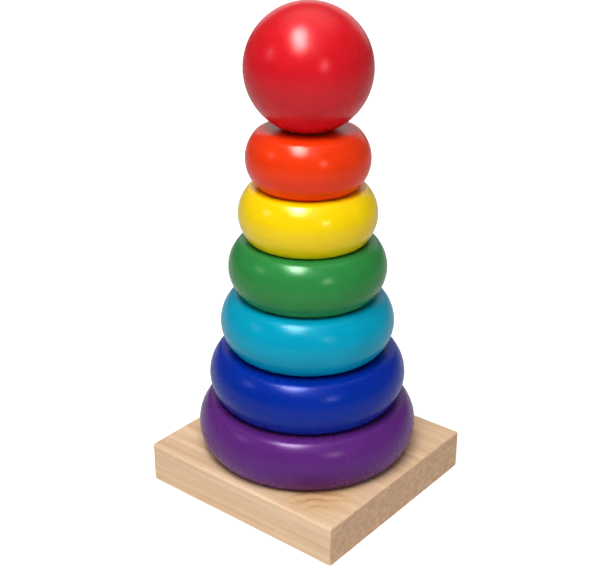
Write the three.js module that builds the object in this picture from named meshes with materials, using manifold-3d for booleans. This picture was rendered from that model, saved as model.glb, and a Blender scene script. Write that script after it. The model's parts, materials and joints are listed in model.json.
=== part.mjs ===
// A wooden rainbow ring stacker. A flat base board carries an upright peg, glued into a blind
// socket and held by one screw from below. Six painted rings of falling diameter are threaded
// on the peg, and a ball with a blind bore caps the stack.
//
// Units are millimetres and +Z is up. The origin is the centre of the base's underside. X runs
// along the board's grain, which is its longer side.
import * as THREE from "three";
import { mergeVertices } from "three/addons/utils/BufferGeometryUtils.js";
import Module from "manifold-3d";

const wasm = await Module();
wasm.setup();

// ---------------------------------------------------------------- driving dimensions

const BASE = { length: 110.6, width: 105.2, height: 19.5, cornerRadius: 1.8, edgeRadius: 1.2 };

const PEG = {
  radius: 8, // 16 mm dowel
  tipHeight: 206, // above the underside of the base
  tipRounding: 4.5,
  footChamfer: 0.8,
};

const SOCKET = { depth: 12.5, mouthChamfer: 0.6 };

// From the bottom of the stack to the top. Thickness is the ring's share of the stack's height.
const RINGS = [
  { name: "ring_purple", diameter: 104.8, thickness: 26.0, colour: "#5f2a7e" },
  { name: "ring_blue", diameter: 93.2, thickness: 26.2, colour: "#0e2f9e" },
  { name: "ring_turquoise", diameter: 81.5, thickness: 27.7, colour: "#119fc4" },
  { name: "ring_green", diameter: 73.3, thickness: 26.3, colour: "#2b9344" },
  { name: "ring_yellow", diameter: 63.5, thickness: 25.0, colour: "#fbd30a" },
  { name: "ring_orange", diameter: 56.1, thickness: 26.5, colour: "#f2401a" },
];

const RING = {
  boreRadius: 9.5, // 19 mm hole
  boreRounding: 1.5, // rounded edge at both mouths of the bore
  wallRadius: 17, // of the arc that bulges the outer wall
  wallTurn: 42, // degrees of that arc on each side of its middle, up to the tighter shoulders
};

const BALL = { radius: 28.3, boreRadius: 9.5, boreRounding: 0.8, boreDepth: 38, drillPoint: 3 };

const SCREW = {
  headRadius: 4.1,
  headHeight: 2.9,
  coreRadius: 1.45,
  threadRadius: 2.1,
  threadPitch: 2,
  length: 32,
  tipLength: 5,
  recess: 1.0, // how far the head sits above the underside
  driveWidth: 1.1, // one arm of the cross-shaped drive recess
  driveSpan: 4.6,
  driveDepth: 1.7,
};

const FACE_GAP = 0.1; // left between stacked faces
const GLUE_GAP = 0.3; // left between parts that are glued or screwed together

const ROUND_STEPS = { ring: 36, ball: 36, peg: 32, hole: 32, screw: 12 };
const WALL_STEPS = 6;
const SHOULDER_STEPS = 2;
const EDGE_STEPS = 2;
const SPHERE_STEPS = 13;
const THREAD_STEPS_PER_TURN = 3;

// ---------------------------------------------------------------- geometry helpers

const point = (radius, height) => new THREE.Vector2(radius, height);

// Points on an arc of a lathe profile, both ends included. Angles are in degrees.
function arc(centreRadius, centreHeight, radius, fromAngle, toAngle, steps) {
  return Array.from({ length: steps + 1 }, (_, i) => {
    const angle = THREE.MathUtils.degToRad(fromAngle + ((toAngle - fromAngle) * i) / steps);
    return point(centreRadius + radius * Math.cos(angle), centreHeight + radius * Math.sin(angle));
  });
}

// A solid of revolution about Z. The profile runs anticlockwise in the (radius, height) plane.
function turned(profile, steps) {
  return new THREE.LatheGeometry(profile, steps).rotateX(Math.PI / 2);
}

// The geometry as a closed manifold solid, for cutting.
function solidOf(geometry) {
  const bare = new THREE.BufferGeometry();
  bare.setAttribute("position", geometry.getAttribute("position"));
  bare.setIndex(geometry.index);
  const merged = mergeVertices(bare, 1e-4);
  return new wasm.Manifold(
    new wasm.Mesh({
      numProp: 3,
      vertProperties: merged.attributes.position.array,
      triVerts: new Uint32Array(merged.index.array),
    }),
  );
}

// What is left of a geometry once the cutters are taken out of it.
function cut(geometry, ...cutters) {
  const left = cutters.reduce((solid, cutter) => solid.subtract(solidOf(cutter)), solidOf(geometry));
  const mesh = left.getMesh();
  const result = new THREE.BufferGeometry();
  result.setAttribute("position", new THREE.BufferAttribute(mesh.vertProperties, mesh.numProp));
  result.setIndex(new THREE.BufferAttribute(mesh.triVerts, 1));
  result.computeVertexNormals();
  return result;
}

function part(name, geometry, colour, roughness, metalness = 0) {
  const material = new THREE.MeshStandardMaterial({ color: colour, roughness, metalness });
  const mesh = new THREE.Mesh(geometry, material);
  mesh.name = name;
  return mesh;
}

// ---------------------------------------------------------------- base board

function roundedRectangle(length, width, radius) {
  const x = length / 2;
  const y = width / 2;
  const outline = new THREE.Shape();
  outline.moveTo(radius - x, -y);
  outline.lineTo(x - radius, -y);
  outline.absarc(x - radius, radius - y, radius, -Math.PI / 2, 0);
  outline.lineTo(x, y - radius);
  outline.absarc(x - radius, y - radius, radius, 0, Math.PI / 2);
  outline.lineTo(radius - x, y);
  outline.absarc(radius - x, y - radius, radius, Math.PI / 2, Math.PI);
  outline.lineTo(-x, radius - y);
  outline.absarc(radius - x, radius - y, radius, Math.PI, 1.5 * Math.PI);
  return outline;
}

const socketFloor = BASE.height - SOCKET.depth;

// The peg's socket, the screw's clearance hole and its countersink, as one turned cutter.
function baseHoles() {
  const socketRadius = PEG.radius + GLUE_GAP;
  const headRadius = SCREW.headRadius + GLUE_GAP;
  const shankRadius = SCREW.threadRadius + GLUE_GAP;
  const beyond = 1;
  return turned(
    [
      point(0, -beyond),
      point(headRadius, -beyond),
      point(headRadius, SCREW.recess),
      point(shankRadius, SCREW.recess + SCREW.headHeight),
      point(shankRadius, socketFloor),
      point(socketRadius, socketFloor),
      point(socketRadius, BASE.height - SOCKET.mouthChamfer),
      point(socketRadius + SOCKET.mouthChamfer + beyond, BASE.height + beyond),
      point(0, BASE.height + beyond),
    ],
    ROUND_STEPS.hole,
  );
}

function makeBase() {
  const inset = BASE.edgeRadius;
  const outline = roundedRectangle(BASE.length - 2 * inset, BASE.width - 2 * inset, BASE.cornerRadius - inset);
  const board = new THREE.ExtrudeGeometry(outline, {
    depth: BASE.height - 2 * inset,
    bevelSize: inset,
    bevelThickness: inset,
    bevelSegments: 3,
    curveSegments: 3,
  }).translate(0, 0, inset);
  return part("base_board", cut(board, baseHoles()), "#e2bf98", 0.6);
}

// ---------------------------------------------------------------- peg and its screw

function makePeg() {
  const foot = socketFloor + GLUE_GAP;
  const pilotRadius = SCREW.threadRadius + GLUE_GAP;
  const pilotTop = SCREW.recess + SCREW.length + 1;
  const round = PEG.tipRounding;
  const profile = [
    point(0, pilotTop + pilotRadius),
    point(pilotRadius, pilotTop),
    point(pilotRadius, foot),
    point(PEG.radius - PEG.footChamfer, foot),
    point(PEG.radius, foot + PEG.footChamfer),
    ...arc(PEG.radius - round, PEG.tipHeight - round, round, 0, 90, 4),
    point(0, PEG.tipHeight),
  ];
  return part("peg", turned(profile, ROUND_STEPS.peg), "#dcb88c", 0.65);
}

// The shank's radius at an angle about its axis and a depth below the head: a helical V thread
// that fades out under the head, on a core that tapers to the tip.
function shankRadius(angle, depth) {
  const turn = (depth / SCREW.threadPitch - angle / (2 * Math.PI)) % 1;
  const ridge = 1 - Math.abs(2 * ((turn + 1) % 1) - 1);
  const below = SCREW.length - depth;
  const taper = Math.min(1, below / SCREW.tipLength);
  const fade = THREE.MathUtils.clamp((depth - SCREW.headHeight) / SCREW.threadPitch - 0.5, 0, 1);
  return taper * (SCREW.coreRadius + (SCREW.threadRadius - SCREW.coreRadius) * ridge * fade);
}

// A closed surface stacked from rings of points, each ring at one height, with a point at each end.
function stackedSurface(heights, radiusAt, steps) {
  const positions = [0, 0, heights[0]];
  for (const height of heights) {
    for (let i = 0; i < steps; i++) {
      const angle = (2 * Math.PI * i) / steps;
      const radius = radiusAt(angle, height);
      positions.push(radius * Math.cos(angle), radius * Math.sin(angle), height);
    }
  }
  const last = positions.length / 3;
  positions.push(0, 0, heights.at(-1));
  const vertex = (ring, i) => 1 + ring * steps + (i % steps);
  const triangles = [];
  for (let i = 0; i < steps; i++) {
    triangles.push(0, vertex(0, i + 1), vertex(0, i));
    for (let ring = 0; ring < heights.length - 1; ring++) {
      const [a, b] = [vertex(ring, i), vertex(ring, i + 1)];
      const [c, d] = [vertex(ring + 1, i), vertex(ring + 1, i + 1)];
      triangles.push(a, b, d, a, d, c);
    }
    triangles.push(last, vertex(heights.length - 1, i), vertex(heights.length - 1, i + 1));
  }
  const geometry = new THREE.BufferGeometry();
  geometry.setAttribute("position", new THREE.Float32BufferAttribute(positions, 3));
  geometry.setIndex(triangles);
  return geometry;
}

// A countersunk wood screw, head down, with its point up inside the peg.
function makeScrew() {
  const step = SCREW.threadPitch / THREAD_STEPS_PER_TURN;
  const threadTop = SCREW.length - step / 2;
  const rows = Math.round((threadTop - SCREW.headHeight) / step);
  const heights = [0, 0.3];
  for (let i = 0; i <= rows; i++) {
    heights.push(SCREW.headHeight + ((threadTop - SCREW.headHeight) * i) / rows);
  }
  const radiusAt = (angle, height) => (height < SCREW.headHeight ? SCREW.headRadius : shankRadius(angle, height));
  const body = stackedSurface(heights, radiusAt, ROUND_STEPS.screw);
  const arm = (length, width) => new THREE.BoxGeometry(length, width, 2 * SCREW.driveDepth);
  const geometry = cut(body, arm(SCREW.driveSpan, SCREW.driveWidth), arm(SCREW.driveWidth, SCREW.driveSpan));
  const screw = part("peg_screw", geometry, "#b9b4a4", 0.35, 1);
  screw.position.z = SCREW.recess;
  return screw;
}

// ---------------------------------------------------------------- rings

// A ring's outer wall, from its lower flat face to its upper one: a wide arc between two tighter
// shoulders, which run into it and into the flat faces without a crease.
function bulgedWall(outerRadius, halfHeight) {
  const { wallRadius, wallTurn } = RING;
  const turn = THREE.MathUtils.degToRad(wallTurn);
  const shoulder = (halfHeight - wallRadius * Math.sin(turn)) / (1 - Math.sin(turn));
  const wallCentre = outerRadius - wallRadius;
  const shoulderCentre = wallCentre + (wallRadius - shoulder) * Math.cos(turn);
  return [
    ...arc(shoulderCentre, shoulder - halfHeight, shoulder, -90, -wallTurn, SHOULDER_STEPS),
    ...arc(wallCentre, 0, wallRadius, -wallTurn, wallTurn, WALL_STEPS).slice(1, -1),
    ...arc(shoulderCentre, halfHeight - shoulder, shoulder, wallTurn, 90, SHOULDER_STEPS),
  ];
}

function makeRing({ name, diameter, thickness, colour }) {
  const half = (thickness - FACE_GAP) / 2;
  const round = RING.boreRounding;
  const edge = RING.boreRadius + round;
  const wall = bulgedWall(diameter / 2, half);
  const profile = [
    ...wall,
    ...arc(edge, half - round, round, 90, 180, EDGE_STEPS),
    ...arc(edge, round - half, round, 180, 270, EDGE_STEPS),
    wall[0],
  ];
  return part(name, turned(profile, ROUND_STEPS.ring), colour, 0.3);
}

// The rings in their places, each standing on the one below.
function makeStack() {
  let bottom = BASE.height + FACE_GAP;
  return RINGS.map((ring) => {
    const mesh = makeRing(ring);
    mesh.position.z = bottom + (ring.thickness - FACE_GAP) / 2;
    bottom += ring.thickness;
    return mesh;
  });
}

// ---------------------------------------------------------------- ball

const stackTop = RINGS.reduce((height, ring) => height + ring.thickness, BASE.height);

// A ball with a blind bore from below, whose rounded rim stands on the top ring.
function makeBall() {
  const rim = BALL.boreRadius + BALL.boreRounding;
  const rimDrop = Math.sqrt(BALL.radius ** 2 - rim ** 2);
  const rimAngle = THREE.MathUtils.radToDeg(Math.asin(rimDrop / BALL.radius));
  const boreEnd = BALL.boreDepth - rimDrop;
  const profile = [
    ...arc(0, 0, BALL.radius, -rimAngle, 90, SPHERE_STEPS).slice(0, -1),
    point(0, BALL.radius),
    point(0, boreEnd + BALL.drillPoint),
    point(BALL.boreRadius, boreEnd),
    point(BALL.boreRadius, BALL.boreRounding - rimDrop),
    point(rim, -rimDrop),
  ];
  const ball = part("top_ball", turned(profile, ROUND_STEPS.ball), "#dc1a26", 0.3);
  ball.position.z = stackTop + FACE_GAP + rimDrop;
  return ball;
}

// ---------------------------------------------------------------- assembly

const stacker = new THREE.Group();
stacker.add(makeBase(), makePeg(), makeScrew(), ...makeStack(), makeBall());

export default stacker;
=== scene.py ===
# Looks for the wooden rainbow ring stacker. Finely turned rings, ball and peg, a hand-sanded
# board and a threaded screw stand for the faceted CAD solids, in the same places and sizes.
# Lengths are in metres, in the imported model's frame: +Z up, origin under the board's centre.
import json
import math

import bmesh
import bpy
from mathutils import Matrix, Vector, noise


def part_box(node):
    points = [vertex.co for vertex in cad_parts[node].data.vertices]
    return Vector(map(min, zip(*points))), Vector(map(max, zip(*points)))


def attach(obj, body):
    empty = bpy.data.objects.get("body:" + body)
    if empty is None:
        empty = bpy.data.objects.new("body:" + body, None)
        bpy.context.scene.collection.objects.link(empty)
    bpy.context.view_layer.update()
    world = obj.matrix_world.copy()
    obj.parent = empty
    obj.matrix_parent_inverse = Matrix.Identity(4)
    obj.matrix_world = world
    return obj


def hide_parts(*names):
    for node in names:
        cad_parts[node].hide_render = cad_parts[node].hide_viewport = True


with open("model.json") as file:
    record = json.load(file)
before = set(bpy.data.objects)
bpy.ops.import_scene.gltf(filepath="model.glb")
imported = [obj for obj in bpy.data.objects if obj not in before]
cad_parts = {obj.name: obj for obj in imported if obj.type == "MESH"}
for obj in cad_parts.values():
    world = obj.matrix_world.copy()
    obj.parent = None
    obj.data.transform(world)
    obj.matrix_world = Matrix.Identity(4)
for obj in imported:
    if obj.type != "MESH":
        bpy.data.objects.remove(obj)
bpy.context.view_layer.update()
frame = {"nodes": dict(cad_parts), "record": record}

# ---------------------------------------------------------------- driving dimensions

MM = 0.001

CAMERA_AZIMUTH = 38.65  # degrees round from looking along +Y
CAMERA_ELEVATION = 24.43
CAMERA_ROLL = 0.23
CAMERA_DISTANCE = 518.8 * MM
CAMERA_AIM_HEIGHT = 97.9 * MM
CAMERA_AIM_LEFT = 0.75 * MM  # of the peg, so that the tower stands a little right of centre
CAMERA_LENS = 65.44  # millimetres, on a sensor 36 mm wide
SENSOR_WIDTH = 36
CAMERA_NEAR_CLIP = 0.01
CAMERA_FAR_CLIP = 50

WALL_RADIUS = 17 * MM  # of the arc that bulges a ring's outer wall
WALL_TURN = 42  # degrees of that arc either side of the middle, before the shoulders
BORE_RADIUS = 9.5 * MM
BORE_ROUNDING = 1.5 * MM

BALL_RADIUS = 28.3 * MM
BALL_BORE_DEPTH = 38 * MM
BALL_BORE_ROUNDING = 0.8 * MM
BALL_DRILL_POINT = 3 * MM

BOARD_CORNER_RADII = (2.2 * MM, 1.3 * MM, 1.2 * MM, 1.8 * MM)  # (-X-Y), (+X-Y), (+X+Y), (-X+Y)
BOARD_SMALLEST_CORNER = 0.3 * MM
BOARD_TOP_EDGE = 1.5 * MM
BOARD_BOTTOM_EDGE = 0.4 * MM
BOARD_EDGE_ZONE = 4 * MM  # how far in from the sides the worn edges may reach
BOARD_INNER_CIRCLE = 30 * MM  # a ring of points on each flat face, round the holes
EDGE_WEAR = 0.4  # share by which an edge's rounding varies
EDGE_WEAR_WAVES = 45  # to the metre
END_SHARPNESS = 0.55  # share by which the edges of the end grain are less rounded

PEG_TIP_ROUNDING = 4.5 * MM
PEG_FOOT_CHAMFER = 0.8 * MM
PILOT_SPARE_DEPTH = 1 * MM  # of the pilot hole, past the screw's point
SOCKET_DEPTH = 12.5 * MM
SOCKET_CHAMFER = 0.6 * MM
GLUE_GAP = 0.3 * MM

SCREW_HEAD_RADIUS = 4.1 * MM
SCREW_HEAD_HEIGHT = 2.9 * MM
SCREW_HEAD_RIM = 0.4 * MM
SCREW_HEAD_BEVEL = (0.15 * MM, 0.12 * MM)  # across and up
SCREW_RECESS = 1.0 * MM
SCREW_THREAD_RADIUS = 2.1 * MM
SCREW_CORE_RADIUS = 1.45 * MM
SCREW_PITCH = 2.0 * MM
SCREW_RIDGE_STEEPNESS = 1.15  # above 1, a strip of bare core shows between the threads
SCREW_TIP_LENGTH = 5 * MM
SCREW_DRIVE_DEPTH = 1.7 * MM
SCREW_DRIVE_WIDTH = 1.1 * MM
SCREW_DRIVE_SPAN = 4.6 * MM
SCREW_DRIVE_RUNOUT = 1 * MM  # how far the cutter starts outside the head's face
SCREW_DRIVE_TAPER = 0.55  # size of the cross at its bottom, as a share of that at its mouth
SCREW_SHARP_EDGE = 35  # degrees between faces, from which an edge is shaded sharp

KNOT_CENTRE = (53 * MM, -56 * MM)
FIGURE_CENTRE = (34 * MM, -35 * MM)  # of the brown lines that the grain makes round the knot
FIGURE_GAP = 6 * MM  # from line to line
FIGURE_LINE = 2 * MM  # over which a line fades
FIGURE_WAVES = (85, 85, 85)  # to the metre, that bend the lines and the figure's outline
FIGURE_LINE_BEND = 14 * MM
FIGURE_OUTLINE_BEND = 9 * MM
FIGURE_FADE = (9 * MM, 20 * MM)  # the lines fade out between these distances
FIGURE_HALO_FADE = (12 * MM, 27 * MM)  # and the yellowish wood round them between these
FIGURE_DEPTH = 0.3 * MM  # down to which it is at full strength, before it fades on the edge

STUDIO_CENTRE = 110 * MM  # the height that the lights look at
FLOOR_HALF_WIDTH = 6.0
FLOOR_DROP = 0.1 * MM  # below the board's underside, so that no two faces share a plane
FLOOR_OVEREXPOSURE = 0.6  # near the toy, and it grows to 1 in the distance
FLOOR_NEAR = 0.3
FLOOR_FAR = 1.5
ROOM_LIGHT = 0.14

TURNED_STEPS = 160  # round a ring or the ball
SHOULDER_STEPS = 12
WALL_STEPS = 32
FLAT_STEPS = 8
MOUTH_STEPS = 8
BORE_STEPS = 6
BALL_STEPS = 72  # from the bore's mouth to the top
BALL_MOUTH_STEPS = 5
BALL_BORE_STEPS = 8
PEG_STEPS = 72  # round the peg
PEG_SIDE_STEPS = 60
PEG_TIP_STEPS = 10
PILOT_STEPS = 6
SCREW_STEPS = 48  # round the screw
SCREW_ROWS_PER_TURN = 10
CORNER_STEPS = 10
SIDE_STEPS = 40
EDGE_STEPS = 8
CARD_STEPS = 48
TURNING_RIPPLE = 0.05 * MM  # how far a hand-finished surface falls short of its true shape
TURNING_WAVES = 55  # to the metre
ON_AXIS = 1e-7  # a point nearer to the axis than this lies on it

# ---------------------------------------------------------------- looks

# A texture's scale is its cells to the metre. Those of wood are given along the grain, and then
# across it. A shift takes each seed to another place in the texture.
ALONG_X = 0
ALONG_Z = 2
PAINT_SHIFT = (0.37, 0.11, 0.23)
WOOD_SHIFT = (0.29, 0.17, 0.41)

PAINT_GRAIN = (14, 160, 160)
PAINT_CLOUDS = (38, 38, 38)
PAINT_SPECKS = (450, 450, 450)
PAINT_GRAIN_SHARE = 0.45  # of the changes in colour, and the clouds have the rest
PAINT_DARKEST = 0.95  # share of the paint's colour
PAINT_PALEST = 1.05
PAINT_GRAIN_RELIEF = 0.006 * MM
PAINT_SPECK_RELIEF = 0.0015 * MM
PAINT_SPECK_SHARE = 0.4  # of the changes in gloss, next to 1 for the clouds
PAINT_GLOSS_SPREAD = 0.025

WOOD_FIBRES = (7, 230)
WOOD_PORES = (200, 1100)
WOOD_BENDS = (9, 30)
WOOD_CLOUDS = (6.3, 21)
WOOD_RING_BEND = 6 * MM
WOOD_LATE_SHARE = 0.3  # how much darker late wood, fibres, clouds and pores can make it
WOOD_FIBRE_SHARE = 0.72
WOOD_CLOUD_SHARE = 0.35
WOOD_PORE_SHARE = 0.22
WOOD_RELIEF = 0.03 * MM
WOOD_SPECULAR = 0.2

SAW_MARKS = (200, 180, 620)
SAW_SLANT = -40  # degrees
SAW_MARK_SHARE = 0.35  # of the end grain's changes in colour, and the blotches have the rest
END_BLOTCHES = (300, 330, 420)
END_FLECKS = (330, 420, 420)
END_FLECKS_FADE = (5 * MM, 14 * MM)  # the flecks get fewer between these heights

STEEL_CLOUDS = (500, 500, 500)
STEEL_RELIEF = 0.01 * MM
FLOOR_CLOUDS = (3, 3, 3)

PAINTS = {  # colour in sRGB, roughness and specular level
    "red_paint": ((212, 20, 33), 0.27, 0.225),
    "orange_paint": ((238, 56, 8), 0.24, 0.21),
    "yellow_paint": ((251, 213, 0), 0.22, 0.27),
    "green_paint": ((44, 134, 64), 0.24, 0.2),
    "turquoise_paint": ((0, 157, 190), 0.24, 0.13),
    "blue_paint": ((0, 42, 154), 0.27, 0.155),
    "purple_paint": ((94, 38, 122), 0.27, 0.16),
}

# Degrees to the camera's right and up, then distance, width and height in metres, and power in
# watts. The last two are the lean in degrees, and whether the paint reflects the box itself.
SOFTBOXES = {
    "key_box": (-28, 62, 0.86, 0.25, 0.5, 3.5, 25, True),
    "front_box": (-6, 58, 1.7, 1.3, 1.3, 6.9, 0, True),
    "back_box": (150, 51, 1.7, 1.0, 1.0, 0.9, 0, False),
    "back_wall": (173, 17.6, 1.9, 2.4, 0.9, 5.1, 0, True),
    "right_wall": (85, 18, 1.9, 1.6, 0.9, 0.9, 0, False),
    "top_lamp": (4, 61, 1.3, 0.4, 0.4, 5.3, 0, False),
}

# The same for the cards, with the glow of the middle in place of the power, and the lean last.
GLEAM_CARDS = {
    "ceiling_card": (180, 84, 1.3, 2.4, 2.2, 2.4, 0),
    "key_gleam": (-28, 62, 0.87, 0.4, 0.82, 60, 25),
    "left_gleam": (-77, 26.6, 1.16, 0.26, 0.38, 9, 46),
    "right_gleam": (28, 19.7, 1.16, 0.26, 0.38, 20, -10),
}
CARD_FULL_GLOW = 0.3  # share of a card's radius at which its glow starts to fade


# ---------------------------------------------------------------- mesh helpers

def arc(centre, radius, start, end, steps):
    """Points on an arc in the (radius, height) plane, both ends included. Angles in degrees."""
    points = []
    for i in range(steps + 1):
        angle = math.radians(start + (end - start) * i / steps)
        points.append((centre[0] + radius * math.cos(angle), centre[1] + radius * math.sin(angle)))
    return points


def straight(start, end, steps):
    """Points from start up to end, with end left out."""
    return [tuple(a + (b - a) * i / steps for a, b in zip(start, end)) for i in range(steps)]


def finished(name, mesh):
    """A smooth-shaded object from a bmesh, with its faces pointing out."""
    bmesh.ops.recalc_face_normals(mesh, faces=mesh.faces)
    data = bpy.data.meshes.new(name)
    mesh.to_mesh(data)
    mesh.free()
    for face in data.polygons:
        face.use_smooth = True
    piece = bpy.data.objects.new(name, data)
    bpy.context.scene.collection.objects.link(piece)
    return piece


def skin(name, loops):
    """A closed surface through loops of points, the last joined to the first. A loop whose
    points all lie on the axis is one vertex."""
    mesh = bmesh.new()
    rows = []
    for loop in loops:
        if all(Vector(point).xy.length < ON_AXIS for point in loop):
            rows.append([mesh.verts.new(loop[0])] * len(loop))
        else:
            rows.append([mesh.verts.new(point) for point in loop])
    count = len(rows[0])
    for row, following in zip(rows, rows[1:] + rows[:1]):
        for i in range(count):
            j = (i + 1) % count
            corners = list(dict.fromkeys([row[i], row[j], following[j], following[i]]))
            if len(corners) > 2:
                mesh.faces.new(corners)
    return finished(name, mesh)


def turned(node, profile, steps=TURNED_STEPS):
    """A solid of revolution about Z. The profile runs anticlockwise in the (radius, height)
    plane. Slow waves take the surface in a little, as sanding does."""
    loops = []
    for radius, height in profile:
        loop = []
        for i in range(steps):
            angle = 2 * math.pi * i / steps
            direction = Vector((math.cos(angle), math.sin(angle), 0))
            at = direction * radius + Vector((0, 0, height))
            wave = 0.5 + 0.5 * noise.noise(at * TURNING_WAVES)
            depth = TURNING_RIPPLE * wave if radius > ON_AXIS else 0
            loop.append(at - direction * depth)
        loops.append(loop)
    return skin(node + "_turned", loops)


# ---------------------------------------------------------------- rings, ball and peg

def ring_piece(node):
    """A turned ring with a bulged wall, rounded shoulders, flat faces and a round-mouthed bore."""
    low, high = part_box(node)
    middle = (low.z + high.z) / 2
    half = (high.z - low.z) / 2
    turn = math.sin(math.radians(WALL_TURN))
    shoulder = (half - WALL_RADIUS * turn) / (1 - turn)
    wall_centre = high.x - WALL_RADIUS
    shoulder_centre = wall_centre + (WALL_RADIUS - shoulder) * math.cos(math.radians(WALL_TURN))
    land = BORE_RADIUS + BORE_ROUNDING
    lower_centre = (shoulder_centre, low.z + shoulder)
    upper_centre = (shoulder_centre, high.z - shoulder)
    lower_shoulder = arc(lower_centre, shoulder, -90, -WALL_TURN, SHOULDER_STEPS)
    wall = arc((wall_centre, middle), WALL_RADIUS, -WALL_TURN, WALL_TURN, WALL_STEPS)
    upper_shoulder = arc(upper_centre, shoulder, WALL_TURN, 90, SHOULDER_STEPS)
    upper_mouth = arc((land, high.z - BORE_ROUNDING), BORE_ROUNDING, 90, 180, MOUTH_STEPS)
    lower_mouth = arc((land, low.z + BORE_ROUNDING), BORE_ROUNDING, 180, 270, MOUTH_STEPS)
    profile = lower_shoulder[:-1] + wall[:-1] + upper_shoulder[:-1]
    profile += straight(upper_shoulder[-1], upper_mouth[0], FLAT_STEPS)
    profile += upper_mouth[:-1]
    profile += straight(upper_mouth[-1], lower_mouth[0], BORE_STEPS)
    profile += lower_mouth[:-1]
    profile += straight(lower_mouth[-1], lower_shoulder[0], FLAT_STEPS)
    return turned(node, profile)


def ball_piece(node):
    """A turned ball with a blind bore from below."""
    low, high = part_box(node)
    centre = high.z - BALL_RADIUS
    rim = BORE_RADIUS + BALL_BORE_ROUNDING
    rim_angle = math.degrees(math.asin((centre - low.z) / BALL_RADIUS))
    bore_end = low.z + BALL_BORE_DEPTH
    mouth_centre = (rim, low.z + BALL_BORE_ROUNDING)
    mouth = arc(mouth_centre, BALL_BORE_ROUNDING, 180, 270, BALL_MOUTH_STEPS)
    profile = arc((0, centre), BALL_RADIUS, -rim_angle, 90, BALL_STEPS)
    profile[-1] = (0, high.z)
    profile += [(0, bore_end + BALL_DRILL_POINT)]
    profile += straight((BORE_RADIUS, bore_end), mouth[0], BALL_BORE_STEPS)
    profile += mouth[:-1]
    return turned(node, profile)


def peg_piece(node):
    """The dowel, with a rounded tip, a chamfered foot and a pilot hole for the screw."""
    low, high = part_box(node)
    radius = high.x
    pilot = SCREW_THREAD_RADIUS + GLUE_GAP
    pilot_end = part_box("peg_screw")[1].z + PILOT_SPARE_DEPTH
    tip_centre = (radius - PEG_TIP_ROUNDING, high.z - PEG_TIP_ROUNDING)
    tip = arc(tip_centre, PEG_TIP_ROUNDING, 0, 90, PEG_TIP_STEPS)
    profile = [(0, pilot_end + pilot)]
    profile += straight((pilot, pilot_end), (pilot, low.z), PILOT_STEPS)
    profile += [(pilot, low.z), (radius - PEG_FOOT_CHAMFER, low.z)]
    profile += straight((radius, low.z + PEG_FOOT_CHAMFER), tip[0], PEG_SIDE_STEPS)
    profile += tip + [(0, high.z)]
    return turned(node, profile, PEG_STEPS)


# ---------------------------------------------------------------- board

def board_outline(half_x, half_y, inset):
    """A rounded rectangle, taken in by inset, as (x, y) points anticlockwise."""
    signs = ((-1, -1), (1, -1), (1, 1), (-1, 1))
    corners = []
    for index, (sx, sy) in enumerate(signs):
        radius = max(BOARD_CORNER_RADII[index] - inset, BOARD_SMALLEST_CORNER)
        centre = (sx * (half_x - inset - radius), sy * (half_y - inset - radius))
        start = 180 + 90 * index
        corners.append(arc(centre, radius, start, start + 90, CORNER_STEPS))
    outline = []
    for index, corner in enumerate(corners):
        following = corners[(index + 1) % 4]
        outline += corner[:-1] + straight(corner[-1], following[0], SIDE_STEPS)
    return outline


def worn_edge(outer, inner, height, size, turn, upper):
    """One loop of a rounded edge: turn 0 is on the side face, and turn 1 on the flat one. The
    height stretches the noise, so that the upper and lower edges wear differently."""
    loop = []
    angle = math.radians(90 * turn)
    for start, end in zip(outer, inner):
        wear = noise.noise(Vector((*start, height * 4)) * EDGE_WEAR_WAVES)
        outward = (Vector(start) - Vector(end)).normalized()
        worn = size * (1 + EDGE_WEAR * wear) * (1 - END_SHARPNESS * outward.x ** 2)
        share = worn * (1 - math.cos(angle)) / BOARD_EDGE_ZONE
        rise = worn * (1 - math.sin(angle))
        x, y = Vector(start).lerp(Vector(end), share)
        loop.append((x, y, height - rise if upper else height + rise))
    return loop


def board_piece(node):
    """The base board: uneven hand-sanded edges, the peg's socket and the screw's hole."""
    low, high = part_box(node)
    outer = board_outline(high.x, high.y, 0)
    inner = board_outline(high.x, high.y, BOARD_EDGE_ZONE)

    def level(outline, height):
        return [(x, y, height) for x, y in outline]

    def circle(radius, height):
        return [(*(Vector(point).normalized() * radius), height) for point in outer]

    turns = [i / EDGE_STEPS for i in range(EDGE_STEPS + 1)]
    socket_floor = high.z - SOCKET_DEPTH
    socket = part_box("peg")[1].x + GLUE_GAP
    head = SCREW_HEAD_RADIUS + GLUE_GAP
    shank = SCREW_THREAD_RADIUS + GLUE_GAP
    loops = [circle(head, low.z), circle(BOARD_INNER_CIRCLE, low.z), level(inner, low.z)]
    for turn in reversed(turns):
        loops.append(worn_edge(outer, inner, low.z, BOARD_BOTTOM_EDGE, turn, upper=False))
    loops.append(level(outer, low.z + 2 * BOARD_BOTTOM_EDGE))
    loops.append(level(outer, high.z - 2 * BOARD_TOP_EDGE))
    for turn in turns:
        loops.append(worn_edge(outer, inner, high.z, BOARD_TOP_EDGE, turn, upper=True))
    loops += [level(inner, high.z), circle(BOARD_INNER_CIRCLE, high.z)]
    loops += [circle(socket + SOCKET_CHAMFER, high.z), circle(socket, high.z - SOCKET_CHAMFER)]
    loops += [circle(socket, socket_floor), circle(shank, socket_floor)]
    loops += [circle(shank, SCREW_RECESS + SCREW_HEAD_HEIGHT), circle(head, SCREW_RECESS)]
    return skin(node + "_sanded", loops)


# ---------------------------------------------------------------- screw

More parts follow.
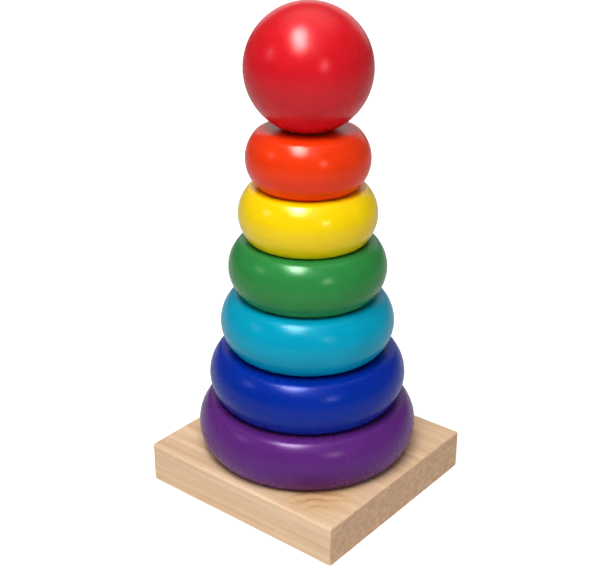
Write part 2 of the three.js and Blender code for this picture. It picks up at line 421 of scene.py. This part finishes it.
def thread_radius(angle, up, length):
    """The screw's radius at an angle about its axis and at a height above its head's face. The
    thread starts half a pitch past the head, and is at its full height one pitch later."""
    turn = (up / SCREW_PITCH - angle / (2 * math.pi)) % 1
    ridge = max(0.0, 1 - abs(2 * turn - 1) * SCREW_RIDGE_STEEPNESS)
    taper = min(1.0, (length - up) / SCREW_TIP_LENGTH)
    fade = min(1.0, max(0.0, (up - SCREW_HEAD_HEIGHT) / SCREW_PITCH - 0.5))
    return taper * (SCREW_CORE_RADIUS + (SCREW_THREAD_RADIUS - SCREW_CORE_RADIUS) * ridge * fade)


def screw_blank(node):
    """The screw before its cross recess is cut. Its thread rises anticlockwise."""
    low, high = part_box(node)
    length = high.z - low.z
    angles = [2 * math.pi * i / SCREW_STEPS for i in range(SCREW_STEPS)]

    def loop(radii, up):
        return [(r * math.cos(a), r * math.sin(a), low.z + up) for r, a in zip(radii, angles)]

    across, bevel_up = SCREW_HEAD_BEVEL
    loops = [[(0, 0, low.z)] * SCREW_STEPS]
    loops.append(loop([SCREW_HEAD_RADIUS - across] * SCREW_STEPS, 0))
    loops.append(loop([SCREW_HEAD_RADIUS] * SCREW_STEPS, bevel_up))
    loops.append(loop([SCREW_HEAD_RADIUS] * SCREW_STEPS, SCREW_HEAD_RIM))
    spacing = SCREW_PITCH / SCREW_ROWS_PER_TURN
    for row in range(int((length - SCREW_HEAD_HEIGHT) / spacing)):
        up = SCREW_HEAD_HEIGHT + row * spacing
        loops.append(loop([thread_radius(angle, up, length) for angle in angles], up))
    loops.append([(0, 0, high.z)] * SCREW_STEPS)
    return skin(node + "_threaded", loops)


def cross_cutter(face_height):
    """A cross-shaped punch that goes up into the screw's head, and narrows on the way."""
    span = SCREW_DRIVE_SPAN / 2
    width = SCREW_DRIVE_WIDTH / 2
    arm = [Vector((span, -width)), Vector((span, width)), Vector((width, width))]
    bottom = face_height - SCREW_DRIVE_RUNOUT
    top = face_height + SCREW_DRIVE_DEPTH

    def outline(scale, height):
        points = []
        for quarter in range(4):
            turn = Matrix.Rotation(math.radians(90 * quarter), 2)
            points += [(*(turn @ corner * scale), height) for corner in arm]
        return points

    mouth = outline(1.0, bottom)
    end = outline(SCREW_DRIVE_TAPER, top)
    return skin("cross_cutter", [
        [(0, 0, bottom)] * len(mouth), mouth, end, [(0, 0, top)] * len(end),
    ])


def screw_piece(node):
    """A countersunk wood screw, head down, with a right-hand thread and a cross recess."""
    screw = screw_blank(node)
    cross = cross_cutter(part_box(node)[0].z)
    cut = screw.modifiers.new("drive", "BOOLEAN")
    cut.operation = "DIFFERENCE"
    cut.solver = "EXACT"
    cut.object = cross
    bpy.context.view_layer.update()
    evaluated = screw.evaluated_get(bpy.context.evaluated_depsgraph_get())
    shape = bpy.data.meshes.new_from_object(evaluated)
    shape.set_sharp_from_angle(angle=math.radians(SCREW_SHARP_EDGE))
    screw.modifiers.clear()
    screw.data = shape
    bpy.data.objects.remove(cross)
    return screw


# ---------------------------------------------------------------- node graphs

def colour(red, green, blue):
    """A linear colour from sRGB values of 0 to 255."""
    def linear(value):
        share = value / 255
        return share / 12.92 if share <= 0.04045 else ((share + 0.055) / 1.055) ** 2.4
    return (linear(red), linear(green), linear(blue), 1.0)


def scaled(shade, factor, lift=0.0):
    """A linear colour times a factor, with a little added to each channel."""
    return tuple(min(1.0, channel * factor + lift) for channel in shade[:3]) + (1.0,)


def put(tree, socket, value):
    """Links the socket to another one, or sets it to a plain value."""
    if isinstance(value, bpy.types.NodeSocket):
        tree.links.new(value, socket)
    else:
        socket.default_value = value


class Graph:
    """A material's node tree, with short ways to add nodes."""

    def __init__(self, name):
        self.material = bpy.data.materials.new(name)
        self.material.use_nodes = True
        self.tree = self.material.node_tree
        self.shader = self.tree.nodes["Principled BSDF"]
        self.place = self.tree.nodes.new("ShaderNodeTexCoord").outputs["Object"]

    def surface(self, name, value):
        """Gives one of the shader's own inputs its value."""
        put(self.tree, self.shader.inputs[name], value)

    def add(self, kind, inputs, **settings):
        made = self.tree.nodes.new("ShaderNode" + kind)
        for name, value in settings.items():
            setattr(made, name, value)
        for name, value in inputs.items():
            put(self.tree, made.inputs[name], value)
        return made

    def stretched(self, scale, offset=(0, 0, 0)):
        """The place on the piece, moved by offset and then times scale."""
        moved = self.add("VectorMath", {0: self.place, 1: offset}, operation="ADD")
        made = self.add("VectorMath", {0: moved.outputs[0], 1: scale}, operation="MULTIPLY")
        return made.outputs[0]

    def distance(self, scale, offset=(0, 0, 0)):
        """How far the stretched place is from the origin."""
        made = self.add("VectorMath", {0: self.stretched(scale, offset)}, operation="LENGTH")
        return made.outputs["Value"]

    def height(self):
        return self.add("SeparateXYZ", {"Vector": self.place}).outputs[2]

    def noise(self, vector, detail=3.0, roughness=0.5):
        made = self.add("TexNoise", {
            "Vector": vector, "Scale": 1.0, "Detail": detail, "Roughness": roughness,
        })
        return made.outputs[0]

    def maths(self, operation, a, b=0.0, c=0.0):
        return self.add("Math", {0: a, 1: b, 2: c}, operation=operation).outputs[0]

    def times(self, a, b):
        return self.maths("MULTIPLY", a, b)

    def blend(self, share, a, b):
        """A share of one value, and the rest of another."""
        return self.maths("ADD", self.times(a, share), self.times(b, 1 - share))

    def band(self, value, low, high, to_low=0.0, to_high=1.0):
        """Value taken from the range low to high into to_low to to_high, and clamped."""
        made = self.add("MapRange", {
            "Value": value, "From Min": low, "From Max": high,
            "To Min": to_low, "To Max": to_high,
        })
        return made.outputs[0]

    def mix(self, share, first, second):
        made = self.tree.nodes.new("ShaderNodeMix")
        made.data_type = "RGBA"
        factor, colour_a, colour_b = made.inputs[0], made.inputs[6], made.inputs[7]
        put(self.tree, factor, share)
        put(self.tree, colour_a, first)
        put(self.tree, colour_b, second)
        return made.outputs[2]

    def bump(self, height, distance, normal=None):
        """Relief of a height from 0 to 1 over the given distance."""
        made = self.add("Bump", {"Height": height, "Distance": distance, "Strength": 1.0})
        if normal is not None:
            put(self.tree, made.inputs["Normal"], normal)
        return made.outputs[0]


# ---------------------------------------------------------------- paint

def paint(name, shade, roughness, specular, seed):
    """Satin-gloss paint on turned wood: the grain shows faintly through it."""
    g = Graph(name)
    shift = tuple(seed * step for step in PAINT_SHIFT)
    grain = g.noise(g.stretched(PAINT_GRAIN, shift), detail=2)
    cloud = g.noise(g.stretched(PAINT_CLOUDS, shift), detail=3)
    speck = g.noise(g.stretched(PAINT_SPECKS, shift), detail=1)
    tone = g.blend(PAINT_GRAIN_SHARE, grain, cloud)
    deep = scaled(shade, PAINT_DARKEST)
    pale = scaled(shade, PAINT_PALEST, 0.001)
    g.surface("Base Color", g.mix(g.band(tone, 0.35, 0.65), deep, pale))
    gloss = g.maths("ADD", cloud, g.times(speck, PAINT_SPECK_SHARE))
    smoothest = roughness - PAINT_GLOSS_SPREAD
    roughest = roughness + PAINT_GLOSS_SPREAD
    g.surface("Roughness", g.band(gloss, 0.4, 1.0, smoothest, roughest))
    relief = g.bump(grain, PAINT_GRAIN_RELIEF)
    g.surface("Normal", g.bump(speck, PAINT_SPECK_RELIEF, relief))
    g.surface("Specular IOR Level", specular)
    return g.material


# ---------------------------------------------------------------- wood

def grained(axis, along, across):
    """A scale with one value along the grain's axis, and another across it."""
    return tuple(along if i == axis else across for i in range(3))


def bare_wood(g, axis, pale, dark, ring_gap, past_pith, seed):
    """Sanded hardwood with fibres, pores, and growth rings about the tree's pith, which runs
    along one axis. The piece's origin lies past_pith from it. Returns the wood's colour, and
    how dark it is there."""
    shift = tuple(seed * step for step in WOOD_SHIFT)
    bend = g.noise(g.stretched(grained(axis, *WOOD_BENDS), shift), detail=2)
    from_pith = g.distance(grained(axis, 0, 1), past_pith)
    bent = g.maths("ADD", from_pith, g.times(bend, WOOD_RING_BEND))
    ring = g.maths("FRACT", g.maths("DIVIDE", bent, ring_gap))
    late_wood = g.maths("POWER", ring, 2.5)
    streak = g.noise(g.stretched(grained(axis, *WOOD_FIBRES), shift), detail=5, roughness=0.65)
    pore = g.noise(g.stretched(grained(axis, *WOOD_PORES), shift), detail=2)
    cloud = g.noise(g.stretched(grained(axis, *WOOD_CLOUDS), shift), detail=3)
    tone = g.times(late_wood, WOOD_LATE_SHARE)
    tone = g.maths("ADD", tone, g.band(streak, 0.35, 0.68, 0.0, WOOD_FIBRE_SHARE))
    tone = g.maths("ADD", tone, g.band(cloud, 0.35, 0.7, 0.0, WOOD_CLOUD_SHARE))
    tint = g.mix(g.band(tone, 0.2, 1.12), pale, dark)
    open_pore = g.band(pore, 0.6, 0.75, 0.0, WOOD_PORE_SHARE)
    tint = g.mix(open_pore, tint, scaled(dark, 0.55))
    g.surface("Normal", g.bump(g.maths("SUBTRACT", streak, g.times(open_pore, 1.5)), WOOD_RELIEF))
    g.surface("Specular IOR Level", WOOD_SPECULAR)
    return tint, tone


def knot_figure(g, tint):
    """Brown figure in the top's grain near the front corner, where it bends round a knot."""
    knot_x, knot_y = KNOT_CENTRE
    x, y = FIGURE_CENTRE
    bend = g.noise(g.stretched(FIGURE_WAVES), detail=3, roughness=0.6)
    from_knot = g.distance((1, 1, 0), (-knot_x, -knot_y, 0))
    swirl = g.maths("MULTIPLY_ADD", bend, FIGURE_LINE_BEND, from_knot)
    to_line = g.maths("PINGPONG", swirl, FIGURE_GAP / 2)
    line = g.band(to_line, 0.0, FIGURE_LINE, 0.7, 0.0)
    from_middle = g.distance((1, 1, 0), (-x, -y, 0))
    spread = g.maths("MULTIPLY_ADD", bend, FIGURE_OUTLINE_BEND, from_middle)
    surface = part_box("base_board")[1].z
    on_top = g.band(g.height(), surface - BOARD_TOP_EDGE, surface - FIGURE_DEPTH)
    within = g.times(g.band(spread, *FIGURE_FADE, 1.0, 0.0), on_top)
    around = g.times(g.band(spread, *FIGURE_HALO_FADE, 0.5, 0.0), on_top)
    tint = g.mix(around, tint, colour(226, 174, 114))
    return g.mix(g.times(line, within), tint, colour(180, 128, 80))


def end_grain(g):
    """Cut ends of the fibres: mottled, with slanting saw marks and a few orange flecks."""
    slant = g.add("Mapping", {
        "Vector": g.place,
        "Rotation": (math.radians(SAW_SLANT), 0, 0),
        "Scale": SAW_MARKS,
    })
    marks = g.noise(slant.outputs[0], detail=3, roughness=0.6)
    blotch = g.noise(g.stretched(END_BLOTCHES), detail=3, roughness=0.6)
    tone = g.blend(SAW_MARK_SHARE, marks, blotch)
    tint = g.mix(g.band(tone, 0.32, 0.68), colour(230, 194, 160), colour(194, 155, 120))
    fleck = g.noise(g.stretched(END_FLECKS, (0, 0.02, 0)), detail=2)
    low_down = g.band(g.height(), *END_FLECKS_FADE, 1.0, 0.3)
    amount = g.times(g.band(fleck, 0.63, 0.7, 0.0, 0.6), low_down)
    return g.mix(amount, tint, colour(226, 142, 94))


def board_wood():
    """The board's wood: long grain on top and on two sides, end grain on the other two."""
    g = Graph("board_wood")
    pale = colour(242, 210, 174)
    dark = colour(214, 171, 130)
    past_pith = (0, 12 * MM, 75 * MM)
    tint, tone = bare_wood(g, ALONG_X, pale, dark, 3.2 * MM, past_pith, seed=3)
    tint = knot_figure(g, tint)
    facing = g.tree.nodes.new("ShaderNodeTexCoord").outputs["Normal"]
    to_the_end = g.add("SeparateXYZ", {"Vector": facing}).outputs[0]
    on_end = g.band(g.maths("ABSOLUTE", to_the_end), 0.6, 0.85)
    g.surface("Base Color", g.mix(on_end, tint, end_grain(g)))
    g.surface("Roughness", g.band(tone, 0.0, 1.0, 0.5, 0.68))
    return g.material


def dowel_wood():
    """The peg's wood, a little darker than the board's, with its grain upright."""
    g = Graph("dowel_wood")
    pale = colour(226, 191, 150)
    dark = colour(192, 146, 102)
    past_pith = (31 * MM, 12 * MM, 0)
    tint, tone = bare_wood(g, ALONG_Z, pale, dark, 2.4 * MM, past_pith, seed=8)
    g.surface("Base Color", tint)
    g.surface("Roughness", g.band(tone, 0.0, 1.0, 0.5, 0.66))
    return g.material


# ---------------------------------------------------------------- steel, and all the materials

def plated_steel():
    """Zinc plate, clouded a little."""
    g = Graph("screw_steel")
    cloud = g.noise(g.stretched(STEEL_CLOUDS), detail=3)
    g.surface("Base Color", g.mix(cloud, colour(196, 190, 172), colour(164, 160, 150)))
    g.surface("Roughness", g.band(cloud, 0.3, 0.7, 0.24, 0.42))
    g.surface("Normal", g.bump(cloud, STEEL_RELIEF))
    g.surface("Metallic", 1.0)
    return g.material


def make_materials():
    made = {}
    for seed, (name, (shade, roughness, specular)) in enumerate(PAINTS.items(), 1):
        made[name] = paint(name, colour(*shade), roughness, specular, seed)
    made["board_wood"] = board_wood()
    made["dowel_wood"] = dowel_wood()
    made["screw_steel"] = plated_steel()
    return made


# ---------------------------------------------------------------- the pieces in their places

def place(piece, node, materials):
    """The piece stands for a CAD node: it rides on its body and takes its material slot."""
    slots = {row["node"]: row["material_slot"] for row in frame["record"]["subparts"]}
    bodies = frame["record"]["behaviour"]["bodies"]
    body = next(name for name, nodes in bodies.items() if node in nodes)
    piece.data.materials.clear()
    piece.data.materials.append(materials[slots[node]])
    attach(piece, body)
    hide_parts(node)


def make_pieces():
    materials = make_materials()
    for node in frame["nodes"]:
        if node.startswith("ring_"):
            place(ring_piece(node), node, materials)
    place(ball_piece("top_ball"), "top_ball", materials)
    place(peg_piece("peg"), "peg", materials)
    place(board_piece("base_board"), "base_board", materials)
    place(screw_piece("peg_screw"), "peg_screw", materials)


# ---------------------------------------------------------------- studio

def directions(azimuth, elevation):
    """The right, up and back of something that looks at the tower from that direction."""
    azimuth = math.radians(azimuth)
    elevation = math.radians(elevation)
    back = Vector((
        math.sin(azimuth) * math.cos(elevation),
        -math.cos(azimuth) * math.cos(elevation),
        math.sin(elevation),
    ))
    right = Vector((math.cos(azimuth), math.sin(azimuth), 0))
    return right, back.cross(right), back


def make_camera():
    right, up, back = directions(CAMERA_AZIMUTH, CAMERA_ELEVATION)
    roll = Matrix.Rotation(math.radians(CAMERA_ROLL), 4, back)
    turn = Matrix((right, up, back)).transposed().to_4x4()
    camera = bpy.data.objects.new("camera", bpy.data.cameras.new("camera"))
    bpy.context.scene.collection.objects.link(camera)
    aim = Vector((0, 0, CAMERA_AIM_HEIGHT)) - right * CAMERA_AIM_LEFT
    camera.matrix_world = Matrix.Translation(aim + back * CAMERA_DISTANCE) @ roll @ turn
    camera.data.lens = CAMERA_LENS
    camera.data.sensor_width = SENSOR_WIDTH
    camera.data.clip_start = CAMERA_NEAR_CLIP
    camera.data.clip_end = CAMERA_FAR_CLIP
    bpy.context.scene.camera = camera


def stand(thing, azimuth, elevation, distance, lean):
    """Stands a light or a card so that it looks at the tower's middle. Azimuth is in degrees
    to the camera's right. Its height lies along its elevation, and leans by some degrees."""
    bpy.context.scene.collection.objects.link(thing)
    right, up, back = directions(CAMERA_AZIMUTH + azimuth, elevation)
    upright = Matrix((right, up, back)).transposed()
    leaning = Matrix.Rotation(math.radians(lean), 3, "Z")
    thing.location = Vector((0, 0, STUDIO_CENTRE)) + back * distance
    thing.rotation_mode = "QUATERNION"
    thing.rotation_quaternion = (upright @ leaning).to_quaternion()


def softbox(name, azimuth, elevation, distance, width, height, power, lean, reflected):
    """A soft flat light that looks at the tower's middle."""
    data = bpy.data.lights.new(name, "AREA")
    data.shape = "RECTANGLE"
    data.size = width
    data.size_y = height
    data.energy = power
    light = bpy.data.objects.new(name, data)
    stand(light, azimuth, elevation, distance, lean)
    light.visible_glossy = reflected


def card_glow(name, width, height, glow):
    """A black material that glows white, most at the card's middle."""
    g = Graph(name)
    radius = g.distance((2 / width, 2 / height, 0))
    g.surface("Base Color", (0, 0, 0, 1))
    g.surface("Specular IOR Level", 0)
    g.surface("Emission Color", (1, 1, 1, 1))
    g.surface("Emission Strength", g.band(radius, CARD_FULL_GLOW, 1.0, glow, 0.0))
    g.material.cycles.emission_sampling = "NONE"
    return g.material


def gleam_card(name, azimuth, elevation, distance, width, height, glow, lean):
    """An oval card that glows most at its middle. It only shows as a reflection, and lights
    nothing else."""
    mesh = bmesh.new()
    bmesh.ops.create_circle(mesh, cap_ends=True, segments=CARD_STEPS, radius=0.5)
    bmesh.ops.scale(mesh, vec=(width, height, 1), verts=mesh.verts)
    data = bpy.data.meshes.new(name)
    mesh.to_mesh(data)
    mesh.free()
    data.materials.append(card_glow(name, width, height, glow))
    card = bpy.data.objects.new(name, data)
    stand(card, azimuth, elevation, distance, lean)
    card.visible_camera = False
    card.visible_diffuse = False
    card.visible_shadow = False


def camera_only(tree, to_others, to_camera):
    """A strength that is one value for camera rays and another for all the light that bounces."""
    seen = tree.nodes.new("ShaderNodeLightPath")
    level = tree.nodes.new("ShaderNodeMapRange")
    put(tree, level.inputs["Value"], seen.outputs["Is Camera Ray"])
    put(tree, level.inputs["To Min"], to_others)
    put(tree, level.inputs["To Max"], to_camera)
    return level.outputs[0]


def make_floor():
    """A white table top, overexposed as the camera sees it, and more so far from the toy, where
    it runs into the white backdrop."""
    mesh = bmesh.new()
    bmesh.ops.create_grid(mesh, x_segments=1, y_segments=1, size=FLOOR_HALF_WIDTH)
    floor = finished("floor", mesh)
    floor.location.z = -FLOOR_DROP
    g = Graph("white_sweep")
    cloud = g.noise(g.stretched(FLOOR_CLOUDS), detail=2)
    overexposure = g.band(g.distance((1, 1, 1)), FLOOR_NEAR, FLOOR_FAR, FLOOR_OVEREXPOSURE, 1.0)
    g.surface("Base Color", g.mix(cloud, (0.88, 0.88, 0.88, 1), (0.9, 0.9, 0.9, 1)))
    g.surface("Emission Color", (1, 1, 1, 1))
    g.surface("Emission Strength", camera_only(g.tree, 0.0, overexposure))
    g.surface("Roughness", 0.9)
    g.surface("Specular IOR Level", 0.1)
    floor.data.materials.append(g.material)


def make_world():
    """A white backdrop to the camera, and a dim room to everything that it lights."""
    world = bpy.data.worlds.new("studio")
    bpy.context.scene.world = world
    world.use_nodes = True
    shine = world.node_tree.nodes["Background"]
    put(world.node_tree, shine.inputs["Color"], (1, 1, 1, 1))
    put(world.node_tree, shine.inputs["Strength"], camera_only(world.node_tree, ROOM_LIGHT, 1.0))


def make_studio():
    """Soft boxes light the toy, and glowing cards give its paint the bright reflections."""
    make_world()
    make_floor()
    for name, settings in SOFTBOXES.items():
        softbox(name, *settings)
    for name, settings in GLEAM_CARDS.items():
        gleam_card(name, *settings)
    bpy.context.scene.view_settings.view_transform = "Standard"


make_camera()
make_studio()
make_pieces()
